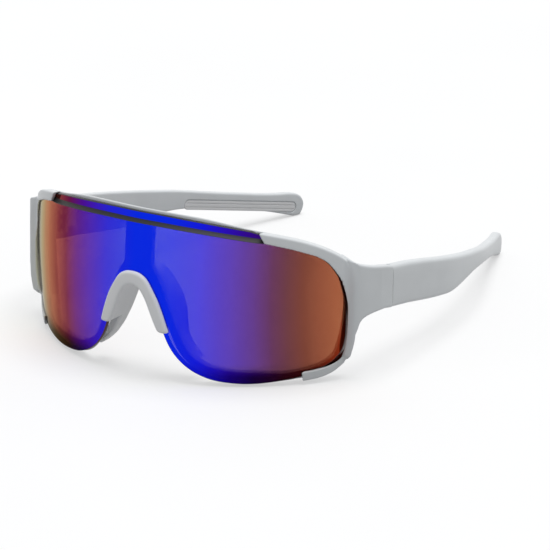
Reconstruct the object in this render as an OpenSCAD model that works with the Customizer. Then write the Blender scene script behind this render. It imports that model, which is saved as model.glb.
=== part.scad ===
// Wrap-around sports sunglasses with one shield lens and two folding temples.
// Millimetres, +Z up, the front faces -Y, the wearer's left is +X.
// The origin is below the middle of the glasses, on the surface that they stand on.

/* [Lens] */
// Height of the lens from its lowest to its highest edge
lens_h = 59.5; // [54:0.5:64]
// Height of the lowest lens edge above the surface
lens_lift = 1; // [0.6:0.1:2]
// Radius of the wrap round the face, at the lens's outer surface
lens_wrap_r = 72; // [70:0.5:80]
// Radius of the lens's slight vertical curve
lens_rise_r = 220; // [160:5:400]
// Half the angle that the lens's shell spans before its ends are trimmed
lens_half_angle = 66.4; // [65.6:0.1:67]
// Thickness of the lens
lens_t = 2.2; // [1.8:0.1:2.6]
// How far the recessed edge strip lies below the lens's outer surface
strip_step = 1; // [0.6:0.1:1.3]
// Height of the recessed strip along the top edge
strip_h = 3.6; // [2:0.1:4.4]

/* [Frame] */
// How far the side lips reach beyond the width that the lens's outline spans
lip_w = 2.5; // [2:0.1:3.5]
// Wall of the side lips round the lens's ends
lip_wall = 1; // [0.8:0.1:1.4]
// Angle from straight back at which the outer faces of the side lips run inwards
lip_turn = 45; // [38:1:50]
// Height of the frame
frame_h = 61.4; // [58:0.2:66]
// Thickness of the frame behind the lens
frame_t = 3.2; // [2.4:0.1:4]
// Half the angle that the frame's rims span about the wrap's axis
frame_half_angle = 68.5; // [66:0.1:69]
// Width of the rims between the eye openings and the side lips' outer faces
rim_w = 3.4; // [3:0.1:4.4]
// Half the width of the post between the two eye openings
post_half_w = 6; // [4.5:0.1:7]
// How far the side lips stand proud of the lens
lip_proud = 0.8; // [0.4:0.1:1.4]
// Clearance between the lens and what holds it
lens_gap = 0.15; // [0.1:0.01:0.25]

/* [Nose bridge] */
// Half the width of the nose arch where the hooks end
nose_half_w = 10.2; // [9.6:0.1:10.6]
// Height of the arch's inner apex
nose_top = 34.6; // [33.6:0.1:35.2]
// Height at which the front hooks end
hook_end = 18.4; // [17:0.1:22]
// Thickness of the hooks in front of the lens
hook_t = 1.3; // [0.9:0.1:1.8]
// Thickness of the saddle's wall
saddle_t = 0.9; // [0.7:0.05:1]
// How far the pads reach behind the lens's front
pad_depth = 15; // [12:0.5:18]
// Depth behind the lens's front at which the pads' lower ends begin
pad_step = 10.6; // [10:0.1:12]

/* [Temples] */
// How far the temples' outer faces stand outside the frame's face
arm_out_w = 3.1; // [2:0.1:4]
// Distance of the hinge axes behind the lens's front
hinge_y = 57.5; // [56:0.5:61]
// Length of a temple from its hinge to its tip
temple_l = 135; // [128:0.5:142]
// Thickness of a temple
temple_t = 3.8; // [3.2:0.1:4.6]
// Height of a temple at the hinge
temple_h = 15.6; // [14:0.1:17]
// Height of a temple's top edge at the hinge
temple_top = 37.9; // [36:0.1:39]
// Straight length of a temple before it bends in
temple_run_l = 32.5; // [20:0.5:38]
// Radius of the bend that hugs the head
temple_bend_r = 175; // [160:1:220]
// Angle that the temple turns in through
temple_bend = 20; // [16:0.5:24]
// Length of the grip panel on a temple's inner face
grip_l = 54; // [42:1:56]
// Height of the grip panel
grip_h = 3.8; // [3:0.1:4.4]
// Thickness of the grip panel
grip_t = 0.8; // [0.5:0.1:1.2]
// Groove round the grip panel
grip_gap = 0.2; // [0.1:0.05:0.3]

/* [Hinge] */
// Gap between a temple's end and the frame, at the seam
seam_gap = 0.3; // [0.2:0.05:0.5]
// Distance of the hinge axis inside the temple's inner face
axis_in = 1.75; // [1.7:0.05:2.2]
// Radius of a knuckle
knuckle_r = 1.4; // [1.2:0.05:1.4]
// Height of the whole barrel
barrel_h = 8.4; // [7:0.1:9.6]
// Gap between two knuckles
knuckle_gap = 0.25; // [0.2:0.01:0.35]
// Thickness of a leaf's plate
leaf_t = 0.9; // [0.7:0.05:1]
// Length of a leaf's plate
leaf_l = 7; // [5:0.5:9]
// Clearance round the anchor and behind the knuckles
leaf_gap = 0.1; // [0.05:0.01:0.2]
// Depth of the anchor that is moulded into the plastic
anchor_t = 1.2; // [0.8:0.1:1.6]
// Radius of the hinge screw's shank
screw_r = 0.7; // [0.6:0.05:0.8]
// Running clearance round the shank
screw_gap = 0.05; // [0.02:0.01:0.08]
// Radius of the screw's head
screw_head_r = 1.25; // [1.1:0.05:1.3]
// Height of the screw's head
screw_head_h = 0.8; // [0.6:0.1:1]
// Width of the slot in the screw's head
slot_w = 0.35; // [0.25:0.05:0.4]

/* [Hidden] */

// Steps per span of a smooth outline, and facets of a full circle
spans = 2;
round_fn = 96;
// One overrun serves all cuts
over = 1;

// The lens's ends lie at a fixed share of the wrap's radius, and the rest of the width follows them
lens_half_w = lens_wrap_r * 0.9083;
frame_half_w = lens_half_w + lip_w;
half_w = frame_half_w + arm_out_w;
frame_back = lens_t + lens_gap + frame_t;
// The height at which the lens and the frame reach furthest forward
belly_z = lens_lift + lens_h * 0.54;

// Lens edge in three runs, as shares of half width and height: the top, the side and the bottom
lens_top_shares = [[0, 1], [0.157, 0.997], [0.329, 0.982], [0.488, 0.958], [0.625, 0.929]];
lens_side_shares = [
  [0.625, 0.929], [0.747, 0.891], [0.861, 0.834], [0.938, 0.76], [0.983, 0.652], [0.998, 0.538],
  [1, 0.42], [0.997, 0.303], [0.986, 0.2], [0.953, 0.113], [0.893, 0.055], [0.808, 0.031]];
lens_low_shares = [
  [0.808, 0.031], [0.716, 0.012], [0.61, 0], [0.518, 0.003], [0.427, 0.018], [0.363, 0.044]];
// Lens edge round the nose, as shares of the nose arch's half width and apex height
lens_arch_shares = [
  [1.994, 0.16], [1.654, 0.246], [1.359, 0.364], [1.147, 0.504], [1.039, 0.622],
  [0.878, 0.751], [0.712, 0.867], [0.507, 0.971], [0.288, 1.038], [0, 1.064]];

// Window inside the side lips, from the upper lip's end round to the lower lip's end
window_shares = [
  [0.6636, 0.872], [0.766, 0.834], [0.8425, 0.793], [0.8777, 0.768], [0.9128, 0.724],
  [0.9465, 0.642], [0.9602, 0.565], [0.971, 0.481], [0.9725, 0.405], [0.972, 0.32],
  [0.968, 0.25], [0.957, 0.18], [0.935, 0.125], [0.9, 0.087], [0.86, 0.07], [0.8135, 0.064]];

// Frame edge in three runs: the brow, the lip's outer side, and the lower rim
brow_shares = [[0, 1], [0.162, 0.997], [0.324, 0.984], [0.471, 0.959], [0.604, 0.93]];
side_shares = [
  [0.604, 0.93], [0.72, 0.895], [0.812, 0.853], [0.885, 0.795], [0.941, 0.722],
  [0.978, 0.637], [0.996, 0.535], [1, 0.423], [0.997, 0.33], [0.989, 0.25], [0.973, 0.178],
  [0.946, 0.115], [0.908, 0.06], [0.86, 0.028], [0.796, 0.014]];
lower_shares = [[0.796, 0.014], [0.72, 0.003], [0.65, 0], [0.5, 0], [0.43, 0.014], [0.375, 0.036]];
// Frame edge round the nose, as shares of the nose arch's half width and apex height
frame_arch_shares = [
  [2.104, 0.133], [1.764, 0.229], [1.458, 0.353], [1.238, 0.492], [1.098, 0.616],
  [0.939, 0.744], [0.772, 0.868], [0.513, 0.997], [0, 1.086]];

// Eye opening, clockwise from the post's top corner, as shares of half width and height,
// before the turned cut trims its outer side
eye_shares = [
  [0.162, 0.923], [0.324, 0.91], [0.471, 0.889], [0.604, 0.868], [0.73, 0.85],
  [0.84, 0.81], [0.92, 0.74], [0.965, 0.64], [0.98, 0.53], [0.98, 0.42],
  [0.97, 0.27], [0.945, 0.15], [0.88, 0.08], [0.8, 0.056], [0.72, 0.058], [0.64, 0.068],
  [0.56, 0.075], [0.471, 0.081], [0.39, 0.098], [0.324, 0.134], [0.277, 0.182],
  [0.24, 0.261], [0.184, 0.423], [0.133, 0.578]];

// Nose arch from its apex down one side, as shares of its half width and apex height
arch_shares = [
  [0, 1], [0.19, 0.986], [0.35, 0.94], [0.52, 0.855], [0.676, 0.74], [0.843, 0.616], [1, 0.517],
  [1.2, 0.405], [1.5, 0.28], [1.82, 0.19]];
// Outer edge of the front hooks and of the pads below them, likewise
hook_shares = [
  [0, 1.142], [0.275, 1.13], [0.549, 1.078], [0.784, 0.971], [0.98, 0.861], [1.157, 0.723],
  [1.314, 0.578], [1.41, 0.48], [1.56, 0.38], [1.78, 0.3], [2.03, 0.24]];

// Plan of a cheek and the arm behind it, as shares of the half width and of the hinge distance
cheek_front_shares = [
  [0.9, 0.642], [0.934, 0.645], [0.952, 0.659], [0.966, 0.699], [0.979, 0.765], [0.993, 0.87]];
cheek_back_shares = [[0.921, 0.8], [0.868, 0.765], [0.833, 0.736], [0.82, 0.708]];
// Side view of the arm, as shares of the hinge distance and of the frame's height
arm_top_shares = [[0.657, 0.712], [0.718, 0.69], [0.81, 0.664], [0.922, 0.64]];
arm_low_shares = [
  [0.923, 0.381], [0.84, 0.384], [0.78, 0.382], [0.735, 0.377], [0.7, 0.368], [0.675, 0.353], [0.657, 0.33]];

// Side view of a temple, as shares of its length and of its top edge's height at the hinge
temple_top_shares = [
  [0.1, 0.942], [0.174, 0.884], [0.254, 0.818], [0.367, 0.726], [0.456, 0.654], [0.555, 0.575],
  [0.674, 0.464], [0.773, 0.376], [0.852, 0.305], [0.911, 0.262], [0.956, 0.236], [0.985, 0.2],
  [1, 0.135], [0.998, 0.06], [0.988, 0]];
temple_low_shares = [
  [0.966, 0], [0.936, 0.038], [0.9, 0.083], [0.85, 0.14], [0.802, 0.19], [0.733, 0.25], [0.654, 0.318],
  [0.575, 0.366], [0.506, 0.39], [0.436, 0.388], [0.382, 0.38], [0.333, 0.384], [0.268, 0.419],
  [0.204, 0.459], [0.1, 0.532]];
// Middle line of the grip panel, as shares of the temple's length and top height
grip_line_shares = [[0.575, 0.41], [0.975, 0.09]];

// A point between p1 and p2 on the smooth curve through four points
function on_curve(p0, p1, p2, p3, t) =
  (2 * p1 + (p2 - p0) * t + (2 * p0 - 5 * p1 + 4 * p2 - p3) * t * t
   + (3 * p1 - p0 - 3 * p2 + p3) * t * t * t) / 2;
// A smooth closed outline through the points
function closed(p, n = spans) = [
  for (i = [0:len(p) - 1], k = [0:n - 1])
    on_curve(p[(i + len(p) - 1) % len(p)], p[i], p[(i + 1) % len(p)], p[(i + 2) % len(p)], k / n)];
// A smooth open line through the points
function open_line(p, n = spans) = concat(
  [for (i = [0:len(p) - 2], k = [0:n - 1])
    on_curve(p[max(i - 1, 0)], p[i], p[i + 1], p[min(i + 2, len(p) - 1)], k / n)],
  [p[len(p) - 1]]);
function backwards(p) = [for (i = [len(p) - 1:-1:0]) p[i]];
function other_side(p) = [for (q = backwards(p)) [-q[0], q[1]]];
function inner_points(p) = [for (i = [1:len(p) - 2]) p[i]];
// Half an outline, from the top centre to the arch's apex, made whole
function both_sides(p) = concat(p, inner_points(other_side(p)));
// An open half outline, made whole with its mirror image
function mirrored(p) = concat(p, [for (q = other_side(p)) if (q[0] < 0) q]);
function placed(shares, w, h, z = 0) = [for (s = shares) [s[0] * w, z + s[1] * h]];
function unit(v) = v / norm(v);
// A clockwise outline moved outwards by d
function grown(p, d) = [
  for (i = [0:len(p) - 1])
    let (t = unit(p[(i + 1) % len(p)] - p[(i + len(p) - 1) % len(p)])) p[i] + d * [-t[1], t[0]]];
// An open line that runs clockwise moved outwards by d
function line_grown(p, d) = [
  for (i = [0:len(p) - 1])
    let (t = unit(p[min(i + 1, len(p) - 1)] - p[max(i - 1, 0)])) p[i] + d * [-t[1], t[0]]];

// The middle of an open line moved outwards by up to d, with its ends left out
function bulged(p, d) = [
  for (i = [1:len(p) - 2]) line_grown(p, d * sin(180 * i / (len(p) - 1)))[i]];

// The sides are trimmed by the turned cut, so the front view's outlines pass outside them
lens_side = placed(lens_side_shares, lens_half_w, lens_h, lens_lift);
lens_half = concat(placed(lens_top_shares, lens_half_w, lens_h, lens_lift),
                   bulged(lens_side, lip_w),
                   placed(lens_low_shares, lens_half_w, lens_h, lens_lift),
                   placed(lens_arch_shares, nose_half_w, nose_top));
lens_edge = closed(both_sides(lens_half));
window_line = open_line(placed(window_shares, lens_half_w, lens_h, lens_lift));
side_points = placed(side_shares, frame_half_w, frame_h);
frame_half = concat(placed(brow_shares, frame_half_w, frame_h),
                    bulged(side_points, lip_w),
                    placed(lower_shares, frame_half_w, frame_h),
                    placed(frame_arch_shares, nose_half_w, nose_top));
// Depth of the lips' outer surface behind the lens's front, at the belly's height
function lip_y(x) =
  x < cheek_front_shares[0][0] * half_w
    ? lens_wrap_r - sqrt(pow(lens_wrap_r + lip_proud, 2) - x * x)
    : lookup(x / half_w, cheek_front_shares) * hinge_y;
// The lips' outer side in the turned view, so that no wall shows behind them
side_turned = [
  for (q = open_line(side_points)) [q[0] * cos(lip_turn) + lip_y(q[0]) * sin(lip_turn), q[1]]];
// The lower rim is flat where it stands
frame_edge = [for (q = closed(both_sides(frame_half))) [q[0], max(q[1], 0)]];
arch_line = open_line(placed(arch_shares, nose_half_w, nose_top));
hook_line = open_line(placed(hook_shares, nose_half_w, nose_top));

// Hinge places
inner_x = half_w - temple_t;
axis_x = inner_x - axis_in;
hinge_z = temple_top - temple_h / 2;
barrel_low = hinge_z - barrel_h / 2;
knuckles = 5;
knuckle_h = (barrel_h - (knuckles - 1) * knuckle_gap) / knuckles;
knuckle_pitch = knuckle_h + knuckle_gap;
leaf_start = knuckle_r + knuckle_gap + leaf_gap;
bend_y = hinge_y + temple_run_l;
bend_x = half_w - temple_bend_r;
temple_start = hinge_y + seam_gap / 2;
// Middle of the whole depth, from the hooks' front to the temple tips
middle_y = (hinge_y + temple_l - hook_t - lens_gap) / 2;

// Shapes drawn in the front view, run through along Y
module front_cut(points) {
  rotate([90, 0, 0])
    translate([0, 0, -hinge_y])
      linear_extrude(hinge_y + frame_back + over * 8)
        polygon(points);
}

// Shapes drawn in the side view (Y, Z), run through along X
module side_cut(points) {
  rotate([90, 0, 90])
    linear_extrude(half_w + over)
      polygon(points);
}

// Everything between the two sides' lips, in the turned views, with its wall moved in
module turned_cut(inset) {
  outline = concat([[-half_w, frame_h * 1.35]], line_grown(side_turned, -inset),
                   [[-half_w, -frame_h / 4]]);
  intersection_for (flip = [0, 1])
    mirror([flip, 0, 0])
      rotate([90, 0, lip_turn])
        translate([0, 0, -2 * half_w])
          linear_extrude(4 * half_w)
            polygon(outline);
}

// Wrap shell between two depths below the lens's outer surface
module shell(from, to, half_angle) {
  translate([0, lens_wrap_r, 0])
    rotate([0, 0, -90 - half_angle])
      rotate_extrude(angle = 2 * half_angle, $fn = round_fn * 2)
        intersection() {
          translate([lens_wrap_r - lens_rise_r, belly_z])
            difference() {
              circle(r = lens_rise_r - from, $fn = round_fn * 4);
              circle(r = lens_rise_r - to, $fn = round_fn * 4);
            }
          translate([lens_wrap_r / 2, -over])
            square([lens_wrap_r, frame_h + 3 * over]);
        }
}

// Puts the middle of the whole depth at the origin
module centred() {
  translate([0, -middle_y, 0]) children();
}

module both() {
  children();
  mirror([1, 0, 0]) children();
}

// Shield lens
// The part of the lens that has its full thickness, inside the recessed edge strip
module full_face() {
  strip_top = placed(lens_top_shares, lens_half_w, lens_h, lens_lift - strip_h);
  side = line_grown(window_line, -lens_gap * 1.5);
  below = -4 * over;
  half = concat(strip_top, side, [[side[len(side) - 1][0], below]]);
  polygon(mirrored(half));
}

module shield_lens() {
  color("mediumblue")
    centred() difference() {
      intersection() {
        shell(0, lens_t, lens_half_angle);
        front_cut(lens_edge);
        turned_cut(lip_wall);
      }
      difference() {
        shell(-over, strip_step, lens_half_angle + over);
        rotate([90, 0, 0])
          translate([0, 0, -hinge_y])
            linear_extrude(hinge_y + frame_back + over * 8)
              full_face();
      }
    }
}

// Front frame
module lens_pocket() {
  intersection() {
    shell(strip_step - lens_gap, lens_t + lens_gap, lens_half_angle + lens_gap);
    front_cut(grown(lens_edge, lens_gap));
    turned_cut(lip_wall - lens_gap);
  }
}

module eye_openings() {
  corner = [[post_half_w, eye_shares[len(eye_shares) - 1][1] * frame_h + post_half_w],
            [post_half_w, eye_shares[0][1] * frame_h]];
  both()
    intersection() {
      front_cut(concat(corner, open_line(placed(eye_shares, frame_half_w, frame_h))));
      turned_cut(rim_w);
      shell(lens_t, frame_back + 2 * over, frame_half_angle + over);
    }
}

// Everything beside and in front of the lens, except where the side lips stay
module window_cut() {
  end = window_line[0];
  slant = [end[0] - frame_h / 8, end[1] + frame_h / 4];
  half = concat([[0, slant[1]], slant], window_line,
                [[window_line[len(window_line) - 1][0], -4 * over]]);
  intersection() {
    shell(-4 * over, lens_t + 2 * lens_gap, frame_half_angle + over);
    front_cut(mirrored(half));
  }
}

// Plan of a cheek with its arm, up to the seam
module cheek_plan() {
  seam = hinge_y - seam_gap / 2;
  leaf_end = hinge_y - leaf_start - leaf_l - over;
  polygon(concat(placed(cheek_front_shares, half_w, hinge_y),
                 [[half_w, seam], [inner_x, seam], [inner_x, leaf_end]],
                 placed(cheek_back_shares, half_w, hinge_y)));
}

module ring() {
  intersection() {
    turned_cut(0);
    union() {
      shell(-lip_proud, frame_back, frame_half_angle);
      both()
        intersection() {
          linear_extrude(frame_h)
            cheek_plan();
          shell(-4 * over, frame_back / 2, frame_half_angle - over);
        }
    }
    front_cut(frame_edge);
  }
}

module arm() {
  seam = hinge_y - seam_gap / 2;
  outline = concat(open_line(placed(arm_top_shares, hinge_y, frame_h)),
                   [[seam, temple_top], [seam, temple_top - temple_h]],
                   open_line(placed(arm_low_shares, hinge_y, frame_h)));
  intersection() {
    linear_extrude(frame_h)
      cheek_plan();
    side_cut(outline);
  }
}

module front_frame() {
  color("gainsboro")
    centred() difference() {
      union() {
        ring();
        both() arm();
      }
      eye_openings();
      window_cut();
      lens_pocket();
      both() leaf_pocket(-1);
    }
}

// Nose bridge
// Everything outside the saddle's wall, between the hooks and the pads
module bridge_slot() {
  wall = line_grown(arch_line, saddle_t);
  low = wall[len(wall) - 1][1];
  intersection() {
    shell(-lens_gap, frame_back + lens_gap, lens_half_angle);
    front_cut(mirrored(concat(wall, [[half_w / 2, low], [half_w / 2, frame_h], [0, frame_h]])));
  }
}

module nose_bridge() {
  color("lightgray")
    centred() difference() {
      rotate([90, 0, 0])
        translate([0, 0, -pad_depth])
          linear_extrude(pad_depth + hook_t + lens_gap + over)
            polygon(mirrored(concat(hook_line, backwards(arch_line))));
      shell(-8 * over, -lens_gap - hook_t, lens_half_angle);
      bridge_slot();
      translate([-half_w / 2, -hinge_y, -over])
        cube([half_w, hinge_y + pad_step, hook_end + over]);
    }
}

// Temples
module temple_plan(from, to, start) {
  translate([from, start])
    square([to - from, bend_y - start]);
  translate([bend_x, bend_y]) {
    intersection() {
      difference() {
        circle(r = to - bend_x, $fn = round_fn * 4);
        circle(r = from - bend_x, $fn = round_fn * 4);
      }
      polygon([[0, 0], [half_w - bend_x + over, 0],
               (half_w - bend_x + over) * [1, tan(temple_bend)]]);
    }
    rotate(temple_bend)
      translate([from - bend_x, 0])
        square([to - from, temple_l / 2]);
  }
}

module grip_shape(spread) {
  ends = placed(grip_line_shares, temple_l, temple_top);
  way = unit(ends[1] - ends[0]);
  up = [-way[1], way[0]];
  r = grip_h / 2 + spread;
  middle = (ends[0] + ends[1]) / 2;
  reach = (grip_l - grip_h) / 2;
  turn = atan2(way[1], way[0]);
  corner = concat(
    [for (a = [90:15:270]) middle - reach * way + r * [cos(a + turn), sin(a + turn)]],
    [for (a = [-90:15:90]) middle + reach * way + r * [cos(a + turn), sin(a + turn)]]);
  translate([0, hinge_y, 0])
    side_cut(corner);
}

module temple() {
  outline = concat([[seam_gap / 2, temple_top]],
                   open_line(placed(temple_top_shares, temple_l, temple_top)),
                   open_line(placed(temple_low_shares, temple_l, temple_top)),
                   [[seam_gap / 2, temple_top - temple_h]]);
  difference() {
    intersection() {
      linear_extrude(frame_h)
        temple_plan(inner_x, half_w, temple_start);
      translate([0, hinge_y, 0])
        side_cut(outline);
    }
    intersection() {
      linear_extrude(frame_h)
        temple_plan(inner_x - over, inner_x + grip_t, temple_start);
      grip_shape(grip_gap);
    }
    leaf_pocket(1);
  }
}

module temple_grip() {
  intersection() {
    linear_extrude(frame_h)
      temple_plan(inner_x, inner_x + grip_t - leaf_gap, temple_start);
    grip_shape(0);
  }
}

// Hinges: side is -1 towards the front and 1 towards the temple
module leaf_anchor(side, spread) {
  y = hinge_y + side * (leaf_start + leaf_l / 2);
  translate([inner_x - leaf_t / 2, y - leaf_l / 4 - spread, hinge_z - barrel_h / 4 - spread])
    cube([leaf_t / 2 + anchor_t + spread, leaf_l / 2 + 2 * spread, barrel_h / 2 + 2 * spread]);
}

module leaf_pocket(side) {
  leaf_anchor(side, leaf_gap);
}

module knuckle(index, side) {
  z = barrel_low + index * knuckle_pitch;
  translate([axis_x, hinge_y, z])
    cylinder(r = knuckle_r, h = knuckle_h, $fn = round_fn);
  translate([axis_x, side > 0 ? hinge_y : hinge_y - leaf_start - leaf_t, z])
    cube([axis_in - leaf_gap, leaf_start + leaf_t, knuckle_h]);
}

module leaf(side, first) {
  y = side > 0 ? hinge_y + leaf_start : hinge_y - leaf_start - leaf_l;
  difference() {
    union() {
      translate([inner_x - leaf_t, y, barrel_low])
        cube([leaf_t, leaf_l, barrel_h]);
      leaf_anchor(side, 0);
      for (i = [first:2:knuckles - 1]) knuckle(i, side);
    }
    translate([axis_x, hinge_y, barrel_low - over])
      cylinder(r = screw_r + screw_gap, h = barrel_h + 2 * over, $fn = round_fn);
  }
}

module hinge_screw() {
  top = barrel_low + barrel_h;
  difference() {
    union() {
      translate([axis_x, hinge_y, barrel_low])
        cylinder(r = screw_r, h = barrel_h + screw_head_h / 2, $fn = round_fn);
      translate([axis_x, hinge_y, top])
        cylinder(r = screw_head_r, h = screw_head_h, $fn = round_fn);
    }
    translate([axis_x - slot_w / 2, hinge_y - screw_head_r - over, top + screw_head_h / 2])
      cube([slot_w, 2 * (screw_head_r + over), screw_head_h]);
  }
}

// The wearer's left is +X, and the right side is its mirror image
module right_side() {
  mirror([1, 0, 0]) children();
}

module temple_left() {
  color("gainsboro") centred() temple();
}

module temple_right() {
  color("gainsboro") centred() right_side() temple();
}

module temple_grip_left() {
  color("silver") centred() temple_grip();
}

module temple_grip_right() {
  color("silver") centred() right_side() temple_grip();
}

module hinge_front_leaf_left() {
  color("lightsteelblue") centred() leaf(-1, 0);
}

module hinge_front_leaf_right() {
  color("lightsteelblue") centred() right_side() leaf(-1, 0);
}

module hinge_temple_leaf_left() {
  color("lightsteelblue") centred() leaf(1, 1);
}

module hinge_temple_leaf_right() {
  color("lightsteelblue") centred() right_side() leaf(1, 1);
}

module hinge_screw_left() {
  color("dimgray") centred() hinge_screw();
}

module hinge_screw_right() {
  color("dimgray") centred() right_side() hinge_screw();
}

shield_lens();
front_frame();
nose_bridge();
temple_left();
temple_right();
temple_grip_left();
temple_grip_right();
hinge_front_leaf_left();
hinge_front_leaf_right();
hinge_temple_leaf_left();
hinge_temple_leaf_right();
hinge_screw_left();
hinge_screw_right();
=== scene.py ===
import math
import bpy
import numpy as np
from mathutils import Vector, Matrix
from mathutils.geometry import delaunay_2d_cdt


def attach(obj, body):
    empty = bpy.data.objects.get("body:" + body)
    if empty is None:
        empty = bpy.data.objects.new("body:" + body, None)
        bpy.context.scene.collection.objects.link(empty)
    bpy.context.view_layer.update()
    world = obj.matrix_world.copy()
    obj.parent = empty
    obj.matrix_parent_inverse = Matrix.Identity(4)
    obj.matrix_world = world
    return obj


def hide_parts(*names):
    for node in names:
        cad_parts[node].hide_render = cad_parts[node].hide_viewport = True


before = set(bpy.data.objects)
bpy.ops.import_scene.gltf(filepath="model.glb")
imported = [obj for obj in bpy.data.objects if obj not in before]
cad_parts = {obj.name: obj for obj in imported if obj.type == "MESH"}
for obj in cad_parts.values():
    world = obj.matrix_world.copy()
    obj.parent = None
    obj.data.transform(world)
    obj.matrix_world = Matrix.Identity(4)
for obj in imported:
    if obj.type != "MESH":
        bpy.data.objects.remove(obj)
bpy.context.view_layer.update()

# Sizes in mm, with y counted from the lens's front and z from the floor
MM = 0.001
# the lens's radii across and up and down, and the height of its shell's middle
WRAP_R, RISE_R, SHELL_Z = 72.0, 220.0, 33.13
LENS_W, LENS_H, LENS_Z = WRAP_R * 0.9083, 59.5, 1.0
LIP_W, LIP_PROUD, LIP_WALL, RIM_W, TURN = 2.5, 0.8, 0.7, 3.4, math.radians(45)
FRAME_W, FRAME_H = LENS_W + LIP_W, 61.4
HALF_W = FRAME_W + 3.1
NOSE_W, NOSE_TOP = 10.2, 34.6
HINGE_Y, TEMPLE_L, TEMPLE_T = 57.5, 135.0, 3.8
# the nose hooks stand out of the lens by this much, and the frame's origin is midway from them to the tips
HOOK_PROUD = 1.45
Y0 = (HINGE_Y + TEMPLE_L - HOOK_PROUD) / 2
LENS_T, FRAME_BACK = 2.2, 5.55
INNER_X = HALF_W - TEMPLE_T
TEMPLE_TOP = 37.9
BEND_R, BEND, BEND_Y = 175.0, math.radians(20.0), 90.0

LENS_TOP_SHARES = [(0, 1), (0.157, 0.997), (0.329, 0.982), (0.488, 0.958), (0.625, 0.929)]
LENS_SIDE_SHARES = [
    (0.625, 0.929), (0.747, 0.891), (0.861, 0.834), (0.938, 0.76), (0.983, 0.652), (0.998, 0.538),
    (1, 0.42), (0.997, 0.303), (0.986, 0.2), (0.953, 0.113), (0.893, 0.055), (0.808, 0.031)]
LENS_LOW_SHARES = [(0.808, 0.031), (0.716, 0.012), (0.61, 0), (0.518, 0.003), (0.427, 0.018), (0.363, 0.044)]
LENS_ARCH_SHARES = [
    (1.994, 0.16), (1.654, 0.246), (1.359, 0.364), (1.147, 0.504), (1.039, 0.622),
    (0.878, 0.751), (0.712, 0.867), (0.507, 0.971), (0.288, 1.038), (0, 1.064)]
WINDOW_SHARES = [
    (0.6636, 0.872), (0.766, 0.834), (0.8425, 0.793), (0.8777, 0.768), (0.9128, 0.724),
    (0.9465, 0.642), (0.9602, 0.565), (0.971, 0.481), (0.9725, 0.405), (0.972, 0.32),
    (0.968, 0.25), (0.957, 0.18), (0.935, 0.125), (0.9, 0.087), (0.86, 0.07), (0.8135, 0.064)]
BROW_SHARES = [(0, 1), (0.162, 0.997), (0.324, 0.984), (0.471, 0.959), (0.604, 0.93)]
SIDE_SHARES = [
    (0.604, 0.93), (0.72, 0.895), (0.812, 0.853), (0.885, 0.795), (0.941, 0.722),
    (0.978, 0.637), (0.996, 0.535), (1, 0.423), (0.997, 0.33), (0.989, 0.25), (0.973, 0.178),
    (0.946, 0.115), (0.908, 0.06), (0.86, 0.028), (0.796, 0.014)]
LOWER_SHARES = [(0.796, 0.014), (0.72, 0.003), (0.65, 0), (0.5, 0), (0.43, 0.014), (0.375, 0.036)]
FRAME_ARCH_SHARES = [
    (2.104, 0.133), (1.764, 0.229), (1.458, 0.353), (1.238, 0.492), (1.098, 0.616),
    (0.939, 0.744), (0.772, 0.868), (0.513, 0.997), (0, 1.086)]
EYE_SHARES = [
    (0.162, 0.923), (0.324, 0.91), (0.471, 0.889), (0.604, 0.868), (0.73, 0.85),
    (0.84, 0.81), (0.92, 0.74), (0.965, 0.64), (0.98, 0.53), (0.98, 0.42),
    (0.97, 0.27), (0.945, 0.15), (0.88, 0.08), (0.8, 0.056), (0.72, 0.058), (0.64, 0.068),
    (0.56, 0.075), (0.471, 0.081), (0.39, 0.098), (0.324, 0.134), (0.277, 0.182),
    (0.24, 0.261), (0.184, 0.423), (0.133, 0.578)]
ARCH_SHARES = [
    (0, 1), (0.19, 0.986), (0.35, 0.94), (0.52, 0.855), (0.676, 0.74), (0.843, 0.616), (1, 0.517),
    (1.2, 0.405), (1.5, 0.28), (1.82, 0.19)]
HOOK_SHARES = [
    (0, 1.142), (0.275, 1.13), (0.549, 1.078), (0.784, 0.971), (0.98, 0.861), (1.157, 0.723),
    (1.314, 0.578), (1.41, 0.48), (1.56, 0.38), (1.78, 0.3), (2.03, 0.24)]
CHEEK_FRONT_SHARES = [
    (0.9, 0.642), (0.934, 0.645), (0.952, 0.659), (0.966, 0.699), (0.979, 0.765), (0.993, 0.87)]
CHEEK_BACK_SHARES = [(0.921, 0.8), (0.868, 0.765), (0.833, 0.736), (0.82, 0.708)]
ARM_TOP_SHARES = [(0.657, 0.712), (0.718, 0.69), (0.81, 0.664), (0.922, 0.64)]
ARM_LOW_SHARES = [
    (0.923, 0.381), (0.84, 0.384), (0.78, 0.382), (0.735, 0.377), (0.7, 0.369), (0.675, 0.355), (0.657, 0.33)]
TEMPLE_UP_SHARES = [
    (0.1, 0.942), (0.174, 0.884), (0.254, 0.818), (0.367, 0.726), (0.456, 0.654), (0.555, 0.575),
    (0.674, 0.469), (0.773, 0.386), (0.852, 0.32), (0.911, 0.28), (0.956, 0.254), (0.985, 0.214),
    (1, 0.135), (0.998, 0.06), (0.988, 0)]
TEMPLE_LOW_SHARES = [
    (0.966, 0), (0.936, 0.038), (0.9, 0.083), (0.85, 0.14), (0.802, 0.19), (0.733, 0.25), (0.654, 0.318),
    (0.575, 0.366), (0.506, 0.39), (0.436, 0.388), (0.382, 0.38), (0.333, 0.384), (0.268, 0.419),
    (0.204, 0.459), (0.1, 0.532)]
GRIP_ENDS, GRIP_L, GRIP_R = ((0.575, 0.41), (0.975, 0.09)), 54.0, 1.9
# play between a pocket and what it holds, and between the frame and a temple at the seam
PLAY, SEAM = 0.15, 0.07


# Curves
def place(shares, w, h, z=0.0):
    """Points from shares of a width and a height."""
    return [(a * w, z + b * h) for a, b in shares]


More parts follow.
